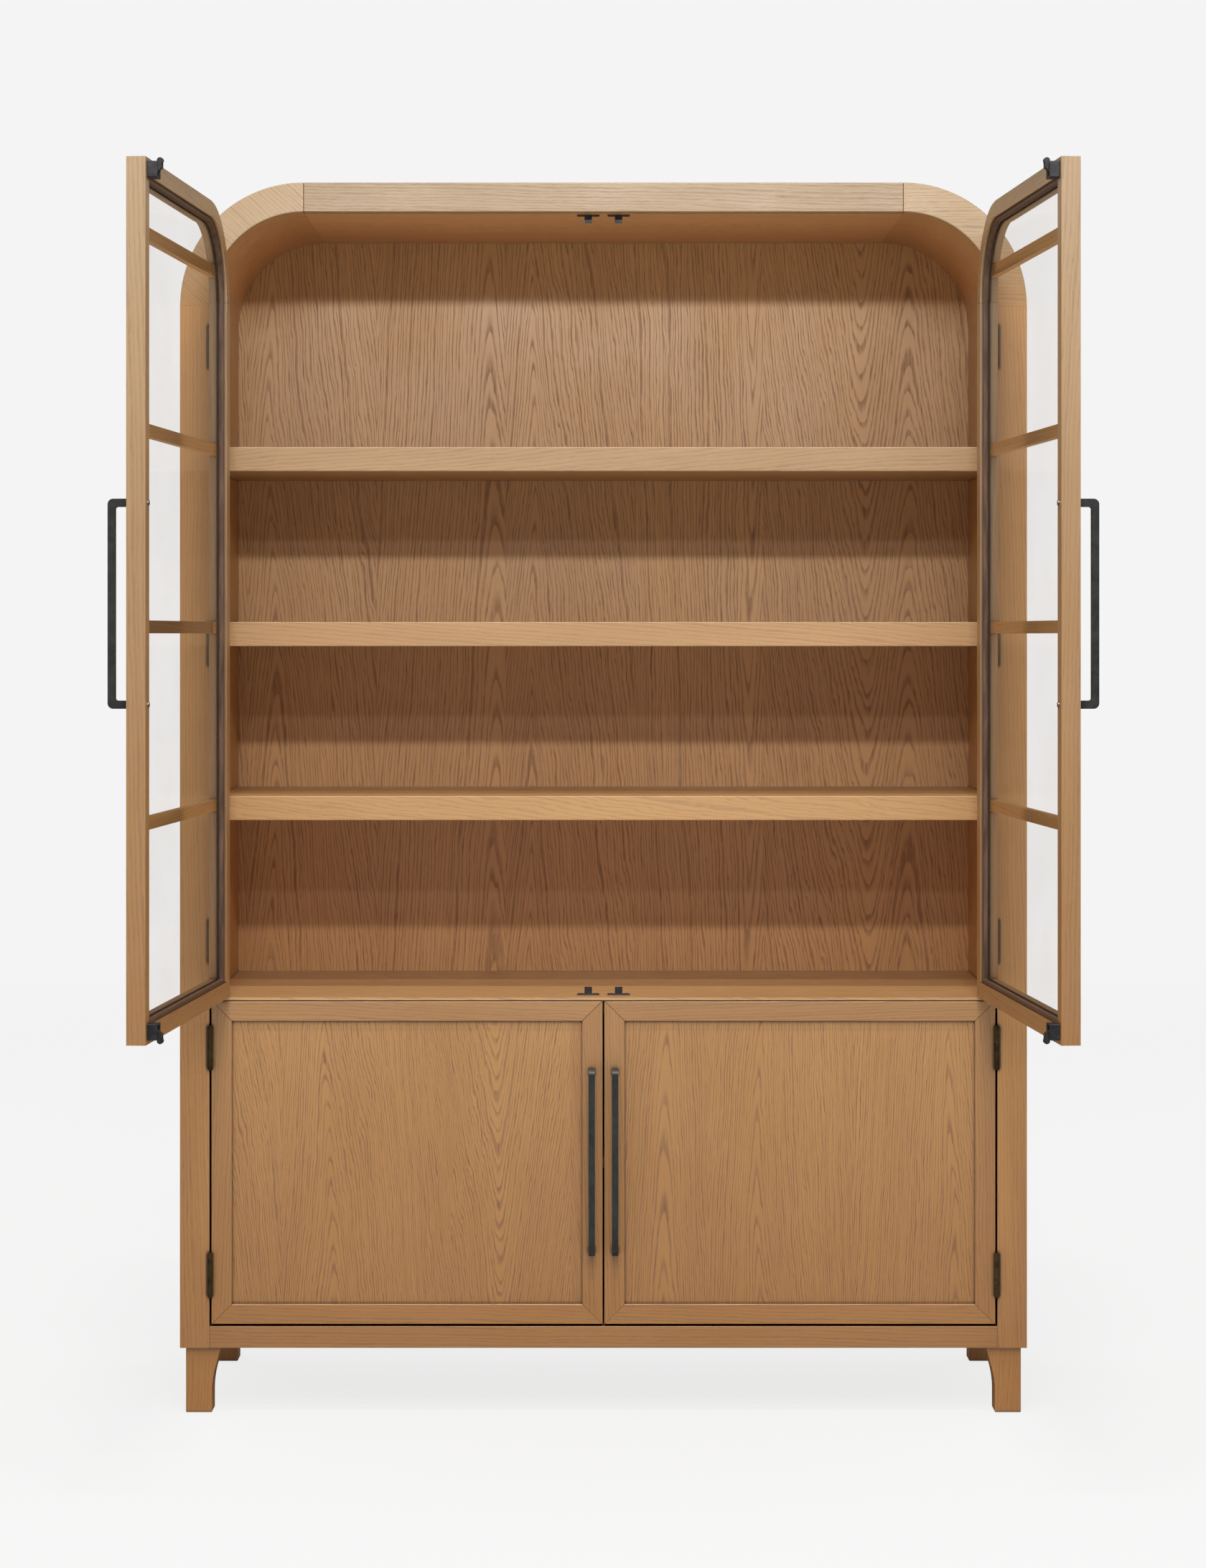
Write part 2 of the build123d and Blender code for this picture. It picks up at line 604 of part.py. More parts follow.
# ---- put the doors together -------------------------------------------------
def glazed_door(side):
    """All pieces of one glazed door, drawn shut."""
    layers = [(DOOR_FRAME, 0, GLASS_FRONT), (GLASS_HOLD, GLASS_FRONT, UPPER_THICKNESS)]
    members = layered_members(side, UPPER_BOTTOM, UPPER_TOP, True, layers)
    hinge_fixings = [screw for z in UPPER_HINGES for screw in leaf_screws(side, z, True)]
    pull_fixings = pull_screws(side, UPPER_PULL_CENTRE, UPPER_THICKNESS)
    catch_fixings = catch_screws(side)
    bodies = [catch_body(side, at_top) for at_top in (True, False)]
    glass_outline = glazed_outline(side, GLASS_HOLD + GLASS_CLEARANCE)
    retainer_inner = glazed_outline(side, GLASS_HOLD + RETAINER_WIDTH)
    retainer_outline = glazed_outline(side, GLASS_HOLD) - retainer_inner
    stiles = [
        cut_all(members["hinge_stile"], hinge_fixings),
        cut_all(members["meeting_stile"], pull_fixings + catch_fixings),
    ]
    rails = [
        cut_all(members["top_rail"], catch_fixings),
        cut_all(members["bottom_rail"], catch_fixings),
    ]
    return {
        "stiles": stiles,
        "rails": rails,
        "arch_corner": members["arch_corner"],
        "glazing_bars": glazing_bars(side),
        "glass": upright(glass_outline, GLASS_FRONT, GLASS_BACK),
        "glass_retainer": upright(retainer_outline, GLASS_BACK, RETAINER_BACK),
        "pull": cut_all(pull(side, UPPER_PULL_CENTRE), pull_fixings),
        "hinge_leaves": [hinge_leaf(side, z, True) for z in UPPER_HINGES],
        "latch_bodies": [cut_all(body, catch_fixings) for body in bodies],
        "screws": hinge_fixings + pull_fixings + catch_fixings,
    }


def panelled_door(side):
    """All pieces of one panelled door, drawn shut."""
    layers = [
        (DOOR_FRAME, 0, LOWER_PANEL_FRONT),
        (GLASS_HOLD, LOWER_PANEL_FRONT, LOWER_PANEL_BACK),
        (DOOR_FRAME, LOWER_PANEL_BACK, LOWER_THICKNESS),
    ]
    members = layered_members(side, LOWER_BOTTOM, LOWER_TOP, False, layers)
    hinge_fixings = [screw for z in LOWER_HINGES for screw in leaf_screws(side, z, True)]
    pull_fixings = pull_screws(side, LOWER_PULL_CENTRE, LOWER_THICKNESS)
    inset = GLASS_HOLD + PANEL_CLEARANCE
    panel = slab(
        side * (MEETING_GAP + inset), side * (DOOR_EDGE - inset),
        LOWER_PANEL_FRONT, LOWER_PANEL_BACK, LOWER_BOTTOM + inset, LOWER_TOP - inset,
    )
    leaves = [hinge_leaf(side, z, True) for z in LOWER_HINGES]
    return {
        "stiles": [
            cut_all(members["hinge_stile"], hinge_fixings),
            cut_all(members["meeting_stile"], pull_fixings),
        ],
        "rails": [members["top_rail"], members["bottom_rail"]],
        "panel": panel,
        "pull": [cut_all(pull(side, LOWER_PULL_CENTRE), pull_fixings), *pull_fixings],
        "hinge_leaves": leaves + hinge_fixings + [magnet_plate(side)],
    }


def swing(shape, side):
    """Turn a shape about its door's hinge line, from shut to standing open."""
    axis = Axis((side * HINGE_X, FRONT_Y - BARREL_PROUD, 0), (0, 0, 1))
    return shape.rotate(axis, side * UPPER_OPEN_ANGLE)


def as_list(shape):
    return shape if isinstance(shape, list) else [shape]


for name, side in SIDES.items():
    for piece, shape in glazed_door(side).items():
        parts[f"upper_{name}_{piece}"] = [swing(one, side) for one in as_list(shape)]
    for level, at_top in {"top": True, "bottom": False}.items():
        parts[f"latch_arm_{level}_{name}"] = [swing(one, side) for one in catch_arm(side, at_top)]
    for piece, shape in panelled_door(side).items():
        parts[f"lower_{name}_{piece}"] = shape

# ---- write one file per piece -----------------------------------------------
os.makedirs("parts", exist_ok=True)
for name, shape in parts.items():
    solids = solids_of(*as_list(shape))
    body = solids[0] if len(solids) == 1 else Compound(children=solids)
    body.label = name
    export_step(body, f"parts/{name}.step")
print(len(parts), "parts, front plane at y =", round(FRONT_Y, 3))
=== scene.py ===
"""Looks of the china cabinet: oak, glass and metal on the CAD pieces, a pale studio and the camera."""
import json
import math

import bpy
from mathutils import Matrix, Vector


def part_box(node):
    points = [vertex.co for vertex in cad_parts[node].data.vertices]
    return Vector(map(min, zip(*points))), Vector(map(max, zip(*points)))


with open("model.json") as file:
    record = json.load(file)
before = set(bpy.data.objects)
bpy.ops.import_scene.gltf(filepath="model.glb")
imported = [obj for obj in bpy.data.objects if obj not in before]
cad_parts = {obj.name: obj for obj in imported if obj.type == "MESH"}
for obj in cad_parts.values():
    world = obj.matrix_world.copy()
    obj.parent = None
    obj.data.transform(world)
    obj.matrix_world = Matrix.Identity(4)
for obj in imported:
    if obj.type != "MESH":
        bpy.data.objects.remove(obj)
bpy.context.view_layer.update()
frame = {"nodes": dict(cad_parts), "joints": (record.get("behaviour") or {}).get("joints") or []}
nodes = frame["nodes"]
joints = {j["name"]: j for j in frame["joints"]}
# a glazed door stands this far open at rest: its hinge's travel back to shut
OPEN_ANGLE = math.radians(-joints["upper_right_door_hinge"]["range_deg"][0])
SIDES = {"left": -1, "right": 1}
FRONT_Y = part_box("stile_left")[0].y
BACK_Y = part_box("side_panel_left")[1].y


# ---- node helpers -----------------------------------------------------------
def rgb(r, g, b, scale=1.0):
    return (r * scale, g * scale, b * scale, 1.0)


def grey(value):
    return rgb(value, value, value)


class Tree:
    """Short names for building one material's node tree."""

    def __init__(self, name):
        self.mat = bpy.data.materials.new(name)
        self.mat.use_nodes = True
        self.tree = self.mat.node_tree
        self.tree.nodes.clear()
        self.out = self.new("OutputMaterial")
        self.bsdf = self.new("BsdfPrincipled")
        self.coordinates = self.new("TexCoord").outputs
        self.link(self.bsdf.outputs[0], self.out.inputs[0])

    def new(self, kind):
        return self.tree.nodes.new("ShaderNode" + kind)

    def link(self, a, b):
        self.tree.links.new(a, b)

    def put(self, socket, value):
        if isinstance(value, bpy.types.NodeSocket):
            self.link(value, socket)
        elif value is not None:
            socket.default_value = value

    def surface(self, **values):
        """Set the principled shader's inputs, by their names with _ for a space."""
        for name, value in values.items():
            self.put(self.bsdf.inputs[name.replace("_", " ")], value)

    def math(self, op, a, b=None, clamp=False):
        n = self.new("Math")
        n.operation = op
        n.use_clamp = clamp
        self.put(n.inputs[0], a)
        self.put(n.inputs[1], b)
        return n.outputs[0]

    def mul(self, a, b):
        return self.math("MULTIPLY", a, b)

    def sub(self, a, b):
        return self.math("SUBTRACT", a, b)

    def add(self, first, *others, clamp=False):
        for other in others:
            first = self.math("ADD", first, other, clamp=clamp)
        return first

    def split(self, v):
        n = self.new("SeparateXYZ")
        self.link(v, n.inputs[0])
        return n.outputs

    def join(self, x, y, z):
        n = self.new("CombineXYZ")
        for socket, value in zip(n.inputs, (x, y, z)):
            self.put(socket, value)
        return n.outputs[0]

    def turn_about_z(self, v, angle):
        n = self.new("VectorRotate")
        n.rotation_type = "Z_AXIS"
        n.inputs["Angle"].default_value = angle
        self.link(v, n.inputs["Vector"])
        return n.outputs[0]

    def noise(self, v, scale, detail=2.0, rough=0.5, dims="3D"):
        """Noise over a place, or over a single number with dims 1D."""
        n = self.new("TexNoise")
        n.noise_dimensions = dims
        self.put(n.inputs["W" if dims == "1D" else "Vector"], v)
        n.inputs["Scale"].default_value = scale
        n.inputs["Detail"].default_value = detail
        n.inputs["Roughness"].default_value = rough
        return n.outputs["Fac"]

    def dice(self, w):
        """Three random numbers that depend on w only."""
        n = self.new("TexWhiteNoise")
        n.noise_dimensions = "1D"
        self.put(n.inputs["W"], w)
        return self.split(n.outputs["Color"])

    def ramp(self, value, low, high, out_low=0.0, out_high=1.0, smooth=True):
        n = self.new("MapRange")
        n.interpolation_type = "SMOOTHSTEP" if smooth else "LINEAR"
        for socket, v in zip(n.inputs, (value, low, high, out_low, out_high)):
            self.put(socket, v)
        return n.outputs[0]

    def mix(self, fac, a, b, blend="MIX"):
        n = self.new("Mix")
        n.data_type = "RGBA"
        n.blend_type = blend
        self.put(n.inputs[0], fac)
        self.put(n.inputs[6], a)
        self.put(n.inputs[7], b)
        return n.outputs[2]

    def mix_shaders(self, fac, a, b):
        n = self.new("MixShader")
        for socket, value in zip(n.inputs, (fac, a, b)):
            self.link(value, socket)
        return n.outputs[0]

    def bump(self, height, strength, distance):
        n = self.new("Bump")
        n.inputs["Strength"].default_value = strength
        n.inputs["Distance"].default_value = distance
        self.link(height, n.inputs["Height"])
        return n.outputs[0]


# ---- oak --------------------------------------------------------------------
OAK_LIGHT = (0.500, 0.236, 0.066)
OAK_MID = (0.440, 0.197, 0.050)
OAK_DARK = (0.180, 0.062, 0.012)
# painted shade: the colour that nooks, joints and recesses are darkened towards, and how far the
# occlusion looks
CORNER_SHADE_COLOUR = (0.22, 0.13, 0.07)
CORNER_SHADE_REACH = 0.006
# painted shade: how closed in a nook is where its darkening is full, and where it has gone
OPEN_CORNER_SHADE = (0.40, 0.95)
TIGHT_CORNER_SHADE = (0.72, 1.0)
SIN_45 = 0.7071
FLECK_SCALE = 1.25
WORN_SCALE = 1.22
PORE_DEPTH = 0.0004


def even(r, g, b):
    """One tint for the whole height of a piece."""
    return (r, g, b), (r, g, b), 0.0, 1.0


class Grain:
    """Where a point lies in its board: along the grain, across it, and into the board.

    Boards or leaves of veneer, each `leaf` wide, follow one another across the piece.
    """

    def __init__(self, t, place, grain, face, leaf, seed):
        self.t = t
        x, y, z = t.split(place)
        self.height = z
        if grain == "diagonal":
            self.along = t.mul(t.sub(x, z), SIN_45)
            self.across = t.mul(t.add(x, z), SIN_45)
            self.depth = y
        else:
            axes = {"x": x, "y": y, "z": z}
            self.along = axes.pop(grain)
            self.depth = axes.pop(face)
            self.across = next(iter(axes.values()))
        start = t.add(self.across, 3.0 + 0.07 * seed)
        cell = t.math("FLOOR", t.math("DIVIDE", start, leaf))
        self.from_middle = t.sub(start, t.mul(t.add(cell, 0.5), leaf))
        self.dice = t.dice(t.add(cell, 7.31 * seed))
        self.more_dice = t.dice(t.add(cell, 3.77 * seed + 91.0))
        self.shift = t.mul(t.add(cell, seed), 13.7)

    def noise(self, per_metre_across, per_metre_along, detail, rough, scale=1.0):
        """Noise drawn out along the grain, different in every board."""
        t = self.t
        place = t.join(
            t.mul(self.across, per_metre_across),
            t.mul(self.depth, per_metre_across),
            t.add(t.mul(self.along, per_metre_along), self.shift),
        )
        return t.noise(place, scale, detail, rough)

    def waver(self, *args):
        """The same noise, about zero."""
        return self.t.sub(self.noise(*args), 0.5)


def spring_wood(t, g, leaf, ring, taper, figure):
    """Growth rings of a tapering trunk, cut on the flat: long hyperbolas nested about each leaf's heart.

    Gives 0, and up to 1 in the dark porous line that opens each year sharply and fades out.
    """
    wave = g.waver(3.2, 0.9, 2.0, 0.5)
    jitter = g.waver(22.0, 5.5, 3.0, 0.6)
    shiver = g.waver(130.0, 16.0, 2.0, 0.6)
    heart = t.mul(t.sub(g.dice[0], 0.5), leaf * 0.9)
    side = t.add(
        t.sub(g.from_middle, heart),
        t.mul(wave, 0.075 * figure),
        t.mul(jitter, 0.017 * figure),
        t.mul(shiver, 0.0045),
    )
    cut = t.add(t.mul(g.dice[2], 0.016), 0.004)
    reach = t.math("SQRT", t.add(t.mul(side, side), t.mul(cut, cut)))
    up_or_down = t.sub(t.mul(t.math("GREATER_THAN", g.dice[1], 0.3), 2.0), 1.0)
    narrowing = t.mul(up_or_down, t.mul(t.add(g.more_dice[1], 0.5), taper))
    climb = t.add(g.along, t.add(t.mul(wave, 0.20), t.mul(jitter, 0.06)))
    radius = t.add(reach, t.mul(climb, narrowing), t.mul(g.depth, 0.8))
    years = t.add(t.math("DIVIDE", radius, ring), 200.0)
    years = t.add(years, t.mul(t.noise(years, 0.45, 2.0, 0.6, "1D"), 1.6))
    phase = t.math("FRACT", years)
    line = t.mul(t.ramp(phase, 0.0, 0.08), t.ramp(phase, 0.58, 0.16))
    strength = t.ramp(t.noise(t.math("FLOOR", years), 1.0, 1.0, 0.5, "1D"), 0.30, 0.70, 0.25, 1.0)
    return t.mul(line, strength)


def rubbed_arris(t, grain, place, normal):
    """1 where a rounded edge has been rubbed pale, in patches."""
    nx, ny, nz = (t.math("ABSOLUTE", n) for n in t.split(normal))
    if grain == "diagonal":
        edge = t.mul(t.ramp(ny, 0.10, 0.30), t.ramp(ny, 0.985, 0.90))
    else:
        edge = t.ramp(t.math("MAXIMUM", t.math("MAXIMUM", nx, ny), nz), 0.985, 0.88)
    return t.mul(edge, t.ramp(t.noise(place, 38.0, 3.0, 0.6), 0.35, 0.70, 0.10, 0.45))


def oak(name, grain, face, turn, leaf=0.26, ring=0.0052, taper=0.09, figure=1.0, line=1.0,
        lime=even(1, 1, 1), seed=1.0, gloss=0.50, crease=OPEN_CORNER_SHADE):
    """Oak with growth rings, open pores and rubbed arrises under dull lacquer, with painted shade in its
    nooks and tints that give its tone and painted light and shade.

    grain and face name the axes along the grain and out of the wide face; turn is
    the angle at which a door stands open at rest, so that its boards keep their grain.
    """
    t = Tree(name)
    place, normal = t.coordinates["Object"], t.coordinates["Normal"]
    if turn:
        place, normal = t.turn_about_z(place, -turn), t.turn_about_z(normal, -turn)
    g = Grain(t, place, grain, face, leaf, seed)

    # dark marks: the broken ring lines, and long streaks and short pores that are stronger in spring wood
    early = spring_wood(t, g, leaf, ring, taper, figure)
    broken = t.ramp(g.noise(130.0, 16.0, 2.0, 0.6, 1.7), 0.28, 0.62, 0.35, 1.0)
    streaks = t.ramp(g.noise(330.0, 11.0, 3.0, 0.65), 0.46, 0.72)
    pores = t.ramp(g.noise(1500.0, 70.0, 1.0, 0.5), 0.56, 0.70)
    dark = t.mul(t.mul(early, broken), 0.80 * line)
    dark = t.add(dark, t.mul(streaks, t.ramp(early, 0.0, 1.0, 0.10 * line, 0.34 * line)))
    dark = t.add(dark, t.mul(pores, t.ramp(early, 0.0, 1.0, 0.05, 0.22)), clamp=True)

    # slow colour changes along a board and from board to board, and faint ripples of silver grain
    cloud = t.ramp(g.noise(9.0, 1.6, 3.0, 0.55), 0.25, 0.75, 0.0, 0.72)
    tone = t.add(cloud, t.mul(g.more_dice[0], 0.28))
    flecks = t.ramp(g.noise(60.0, 140.0, 1.0, 0.5), 0.62, 0.74, 0.0, 0.10)
    ground = t.mix(tone, rgb(*OAK_MID), rgb(*OAK_LIGHT))
    ground = t.mix(flecks, ground, rgb(*OAK_LIGHT, FLECK_SCALE))
    colour = t.mix(dark, ground, rgb(*OAK_DARK))
    worn = rubbed_arris(t, grain, place, normal)
    colour = t.mix(worn, colour, rgb(*OAK_LIGHT, WORN_SCALE))

    # painted light and shade, with the wood's own tone: each piece has its own tint, which changes with
    # height, so pieces come out lighter or darker and paler towards the top as the light falls on them
    low_tint, high_tint, low_z, high_z = lime
    limed = t.mix(t.ramp(g.height, low_z, high_z, smooth=False), rgb(*low_tint), rgb(*high_tint))
    colour = t.mix(1.0, colour, limed, "MULTIPLY")
    if crease:
        # painted shade: the colour is darkened by ambient occlusion where two pieces meet and in recesses
        occlusion = t.new("AmbientOcclusion")
        occlusion.samples = 4
        occlusion.inputs["Distance"].default_value = CORNER_SHADE_REACH
        unshaded = t.ramp(occlusion.outputs["AO"], *crease)
        colour = t.mix(1.0, colour, t.mix(unshaded, rgb(*CORNER_SHADE_COLOUR), grey(1)), "MULTIPLY")

    rough = t.ramp(dark, 0.0, 0.8, gloss - 0.03, gloss + 0.22)
    handled = t.ramp(t.noise(place, 6.0, 3.0, 0.55), 0.3, 0.7, -0.05, 0.06)
    relief = t.sub(1.0, t.add(t.mul(pores, 0.6), t.mul(dark, 0.6)))
    t.surface(
        Base_Color=colour,
        Roughness=t.add(rough, handled),
        Specular_IOR_Level=1.0,
        Coat_Weight=0.8,
        Coat_Roughness=0.5,
        Normal=t.bump(relief, 0.35, PORE_DEPTH),
    )
    return t.mat


# ---- other materials --------------------------------------------------------
def stained_strip(name):
    """Dark stained wood with a streaky grain that runs upright."""
    t = Tree(name)
    x, y, z = t.split(t.coordinates["Object"])
    streaks = t.noise(t.join(t.mul(x, 160.0), t.mul(y, 90.0), t.mul(z, 14.0)), 1.0, 4.0, 0.6)
    t.surface(
        Base_Color=t.mix(t.ramp(streaks, 0.3, 0.72), rgb(0.070, 0.036, 0.022), rgb(0.150, 0.080, 0.046)),
        Roughness=t.ramp(streaks, 0.3, 0.7, 0.42, 0.62),
        Normal=t.bump(streaks, 0.3, 0.0003),
    )
    return t.mat


def metal(name, dark, light, metallic, rough, worn=None, bump=0.15):
    """Cast or coated metal with a fine grained surface and, if asked, rubbed places."""
    t = Tree(name)
    place = t.coordinates["Object"]
    grain = t.noise(place, 900.0, 3.0, 0.6)
    patch = t.noise(place, 56.25, 4.0, 0.6)
    colour = t.mix(t.ramp(patch, 0.3, 0.7), rgb(*dark), rgb(*light))
    if worn:
        rubbed = t.ramp(t.noise(place, 100.0, 5.0, 0.7), 0.58, 0.74, 0.0, 0.7)
        colour = t.mix(rubbed, colour, rgb(*worn))
    t.surface(
        Base_Color=colour,
        Metallic=metallic,
        Roughness=t.ramp(grain, 0.25, 0.75, rough - 0.07, rough + 0.10),
        Normal=t.bump(grain, bump, 0.0002),
    )
    return t.mat


GLASS_IOR = 1.5


def glass(name):
    """Clear pane with a faint warm film, slightly uneven."""
    t = Tree(name)
    place = t.coordinates["Object"]
    film = t.noise(place, 5.0, 4.0, 0.55)
    # light that grazes the pane is mostly turned away, so it throws a soft shadow
    fresnel = t.new("Fresnel")
    fresnel.inputs["IOR"].default_value = GLASS_IOR
    turned_away = t.mul(fresnel.outputs[0], t.new("LightPath").outputs["Is Shadow Ray"])
    t.surface(
        Base_Color=t.mix(film, rgb(0.50, 0.37, 0.23), rgb(0.58, 0.43, 0.27)),
        Roughness=t.ramp(film, 0.3, 0.7, 0.02, 0.045),
        IOR=GLASS_IOR,
        Alpha=t.add(t.ramp(film, 0.3, 0.7, 0.075, 0.105), t.mul(turned_away, 0.7), clamp=True),
        Normal=t.bump(t.noise(place, 1.8, 1.0, 0.4), 0.03, 0.002),
    )
    return t.mat


# ---- finish the CAD pieces --------------------------------------------------
def soften(obj, width, segments):
    """Join the split edges of a CAD mesh, round its arrises, and smooth the shading."""
    weld = obj.modifiers.new("weld", "WELD")
    weld.merge_threshold = 0.00001
    bevel = obj.modifiers.new("arris", "BEVEL")
    bevel.width = width
    bevel.segments = segments
    bevel.limit_method = "ANGLE"
    bevel.angle_limit = math.radians(38)
    bevel.use_clamp_overlap = True
    bevel.miter_outer = "MITER_ARC"
    bevel.harden_normals = False
    weighted = obj.modifiers.new("normals", "WEIGHTED_NORMAL")
    weighted.keep_sharp = True
    weighted.weight = 60


def finish(name, material, width=0.0, segments=3):
    """Give a node its material and, if a width is given, rounded arrises."""
    obj = nodes[name]
    obj.data.materials.clear()
    obj.data.materials.append(material)
    if width:
        soften(obj, width, segments)


def oak_piece(node, arris, grain, face, turn=0.0, **look):
    """Give one piece its own oak, seeded by the piece's place in the list of nodes."""
    seed = 2.0 + 3.0 * sorted(nodes).index(node)
    finish(node, oak("oak_" + node, grain, face, turn, seed=seed, **look), arris)


# narrow members sawn from the solid, and veneered or glued-up boards
SAWN = {"leaf": 0.5, "ring": 0.0060, "taper": 0.03, "figure": 0.5, "line": 0.6}
BOARD = {"leaf": 0.23, "line": 0.8}
SHELF = {"leaf": 0.24, "ring": 0.006, "line": 0.5}
BACKING = {"leaf": 0.25, "ring": 0.0064}
DOOR_PANEL = {"leaf": 0.26, "ring": 0.0043, "line": 1.15}

# tints for tone and painted light and shade, low down and high up, and the heights between which they
# change
UPPER_SPAN = (0.75, 2.15)
LOWER_SPAN = (0.15, 0.72)
ARCH_SPAN = (1.98, 2.12)
BACK = ((1.30, 1.34, 1.26), (1.30, 1.50, 1.52), *UPPER_SPAN)
WALL = ((1.22, 1.14, 0.75), (1.02, 1.12, 0.80), *UPPER_SPAN)
STILE = ((0.86, 0.76, 0.42), (1.26, 1.26, 0.95), 0.15, 0.80)
DOOR = ((0.81, 0.80, 0.70), (0.80, 1.06, 1.68), *UPPER_SPAN)
BARS = ((1.35, 1.28, 0.85), (1.40, 1.50, 1.35), *UPPER_SPAN)
LOW_FRAME = ((0.80, 0.70, 0.32), (0.86, 0.88, 0.82), *LOWER_SPAN)
LOW_PANEL = ((0.83, 0.76, 0.42), (1.00, 1.03, 0.90), *LOWER_SPAN)
ARCH = ((1.20, 1.24, 0.98), (0.90, 1.24, 2.05), *ARCH_SPAN)
ARCH_LINING = even(1.20, 1.25, 1.40)
HIDDEN_BOARD = even(1.10, 1.12, 1.10)
SHELVES = {
    "shelf_upper": even(0.88, 1.05, 1.35),
    "shelf_middle": even(1.03, 1.18, 1.41),
    "shelf_lower": even(1.12, 1.26, 1.42),
}

oak_piece("top_rail", 0.0018, "x", "y", **SAWN, lime=even(0.76, 1.03, 1.68), crease=TIGHT_CORNER_SHADE)
oak_piece("bottom_rail", 0.0012, "x", "y", **SAWN, lime=even(0.79, 0.71, 0.36))
oak_piece("feet", 0.0018, "z", "y", **SAWN, lime=even(0.89, 0.76, 0.30))
oak_piece("top_panel", 0.0012, "x", "z", **BOARD, lime=even(1.42, 1.58, 2.1))
oak_piece("floor_board", 0.0012, "x", "z", **BOARD, lime=even(1.18, 1.38, 1.85))
oak_piece("bottom_board", 0.0012, "x", "z", **BOARD, lime=HIDDEN_BOARD)
oak_piece("cupboard_shelf", 0.0015, "x", "z", **BOARD, lime=HIDDEN_BOARD)
oak_piece("back_panel_upper", 0.0008, "z", "y", **BACKING, line=1.25, lime=BACK, crease=None)
oak_piece("back_panel_lower", 0.0008, "z", "y", **BACKING, lime=even(1.24, 1.26, 1.20))
for shelf, tint in SHELVES.items():
    oak_piece(shelf, 0.0018, "x", "z", **SHELF, lime=tint)

for side_name, side in SIDES.items():
    turn = side * OPEN_ANGLE
    upper, lower = f"upper_{side_name}_", f"lower_{side_name}_"
    arch_grain = "diagonal" if side_name == "left" else "x"
    oak_piece(f"stile_{side_name}", 0.0018, "z", "y", **SAWN, lime=STILE, crease=TIGHT_CORNER_SHADE)
    oak_piece(f"arch_frame_{side_name}", 0.0018, arch_grain, "y", **SAWN, lime=ARCH, crease=TIGHT_CORNER_SHADE)
    oak_piece(f"side_panel_{side_name}", 0.0015, "z", "x", **BOARD, lime=WALL)
    oak_piece(f"arch_shell_{side_name}", 0.0012, "x", "z", **BOARD, lime=ARCH_LINING, crease=None)
    oak_piece(upper + "stiles", 0.0036, "z", "y", turn, **SAWN, lime=DOOR)
    oak_piece(upper + "rails", 0.0030, "x", "y", turn, **SAWN, lime=DOOR)
    oak_piece(upper + "arch_corner", 0.0018, "x", "y", turn, **SAWN, lime=DOOR)
    oak_piece(upper + "glazing_bars", 0.0012, "x", "y", turn, **SAWN, lime=BARS, crease=None)
    oak_piece(lower + "stiles", 0.0017, "z", "y", **SAWN, lime=LOW_FRAME)
    oak_piece(lower + "rails", 0.0017, "x", "y", **SAWN, lime=LOW_FRAME)
    oak_piece(lower + "panel", 0.0006, "z", "y", **DOOR_PANEL, lime=LOW_PANEL)

strip = stained_strip("dark_strip_wood")
pane = glass("clear_glass")
charcoal = metal("charcoal_coat", (0.028, 0.031, 0.030), (0.045, 0.050, 0.047), 0.35, 0.40)
cast = metal("blackened_cast", (0.028, 0.029, 0.034), (0.060, 0.058, 0.062), 0.6, 0.46,
             worn=(0.12, 0.11, 0.11), bump=0.3)
bronze = metal("antique_brass", (0.070, 0.050, 0.022), (0.150, 0.108, 0.045), 0.85, 0.44,
               worn=(0.36, 0.27, 0.12))
steel = metal("plain_steel", (0.30, 0.29, 0.27), (0.42, 0.41, 0.39), 1.0, 0.36)
housing = metal("brown_housing", (0.05, 0.03, 0.018), (0.08, 0.05, 0.03), 0.0, 0.5)
for side_name in SIDES:
    upper, lower = f"upper_{side_name}_", f"lower_{side_name}_"
    finish(upper + "glass_retainer", strip, 0.0012)
    finish(upper + "glass", pane)
    finish(upper + "pull", charcoal, 0.0016)
    finish(lower + "pull", charcoal, 0.0016)
    finish(upper + "latch_bodies", cast, 0.0012)
    for level in ("top", "bottom"):
        finish(f"latch_arm_{level}_{side_name}", cast, 0.0005, 2)
    finish(upper + "hinge_leaves", bronze)
    finish(lower + "hinge_leaves", bronze)
    finish(upper + "screws", steel)
finish("latch_strikes", cast, 0.0004, 2)
finish("frame_hinge_leaves", bronze)
finish("hinge_pins", bronze, 0.0008)
finish("frame_screws", steel)
finish("shelf_pins", steel)
finish("magnet_catches", housing, 0.001)

# ---- studio -----------------------------------------------------------------
FLOOR_RADIUS = 16.0
FLOOR_RINGS = 24
FLOOR_SPOKES = 72
FLOOR_DROP = 0.0005
FADE_FROM, FADE_TO = 2.6, 9.6
BACKDROP = 0.905
AMBIENT = 0.45
GLOSSY_SHARE = 0.18


def disc_mesh(name, radius, rings, spokes):
    """A flat disc whose rings stand closer together towards the middle."""
    verts = [(0.0, 0.0, 0.0)]
    for i in range(1, rings + 1):
        r = radius * (i / rings) ** 1.6
        for j in range(spokes):
            angle = 2 * math.pi * j / spokes
            verts.append((r * math.cos(angle), r * math.sin(angle), 0.0))
    faces = []
    for j in range(spokes):
        k = (j + 1) % spokes
        faces.append((0, 1 + j, 1 + k))
        for i in range(rings - 1):
            a, b = 1 + i * spokes + j, 1 + i * spokes + k
            faces.append((a, a + spokes, b + spokes, b))
    mesh = bpy.data.meshes.new(name)
    mesh.from_pydata(verts, [], faces)
    return mesh


